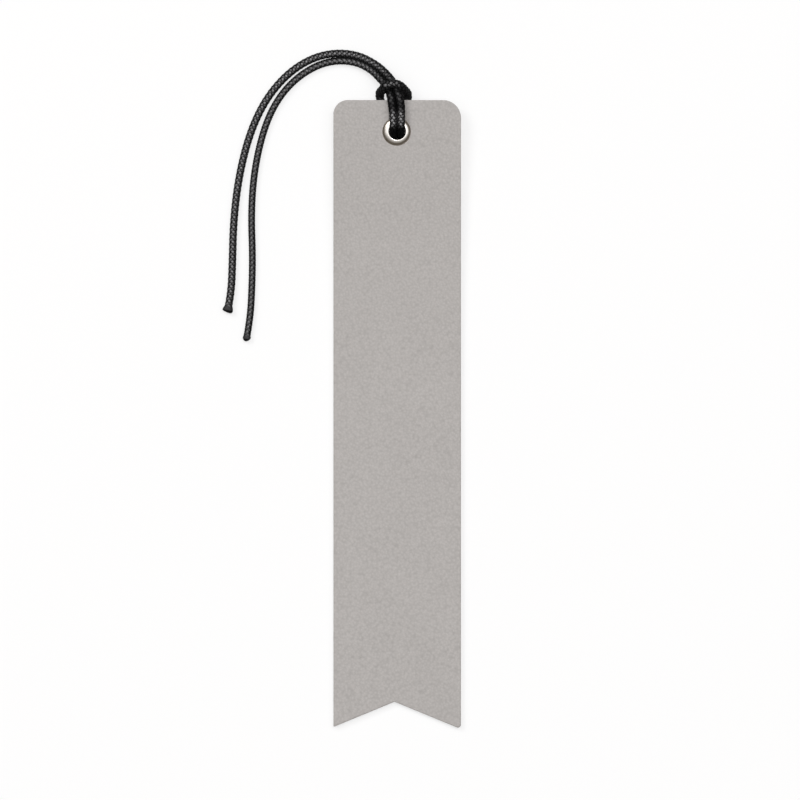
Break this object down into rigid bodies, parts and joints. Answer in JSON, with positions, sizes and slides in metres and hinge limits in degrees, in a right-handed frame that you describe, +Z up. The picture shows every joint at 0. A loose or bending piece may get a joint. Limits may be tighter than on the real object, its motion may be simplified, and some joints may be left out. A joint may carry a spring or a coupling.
{
  "type": "bookmark",
  "caption": "Flat leatherette bookmark with rounded head corners, a swallow-tail foot and a metal eyelet that holds a braided cord by a lark's-head hitch, its tails lying free.",
  "frame": {"origin": "on the table, in the middle of the blade and the hitch together, with the free tails left out", "axes": "+X across the blade to the right as seen from above, +Y from the forked foot to the head, +Z up out of the face"},
  "size_m": [0.057, 0.1616, 0.0072],
  "materials": {
    "leatherette": "warm grey with a fine pebble grain, satin",
    "grey_board": "pressed wood-fibre board, matt",
    "nickel": "nickel plated, polished, a little worn",
    "cord": "black braided cord, lightly waxed"
  },
  "bodies": {
    "strip": {"front_ply": "leatherette", "stiffener_core": "grey_board", "back_ply": "leatherette", "eyelet": "nickel", "eyelet_washer": "nickel"},
    "hitch": {"cord_hitch": "cord"},
    "outer_tail": {"cord_tail_outer": "cord"},
    "inner_tail": {"cord_tail_inner": "cord"}
  },
  "joints": [
    {"name": "hitch_swivel", "type": "hinge", "parent": "strip", "child": "hitch", "pos_m": [0, 0.06454, 0.00237], "axis": [0, -0.0633, 0.998], "range_deg": [-5, 5]},
    {"name": "outer_tail_lift", "type": "hinge", "parent": "hitch", "child": "outer_tail", "pos_m": [-0.00245, 0.07795, 0.00344], "axis": [0.342, 0.9397, 0], "range_deg": [0, 75]},
    {"name": "inner_tail_lift", "type": "hinge", "parent": "hitch", "child": "inner_tail", "pos_m": [-0.00385, 0.07674, 0.00337], "axis": [0.342, 0.9397, 0], "range_deg": [0, 75]}
  ]
}
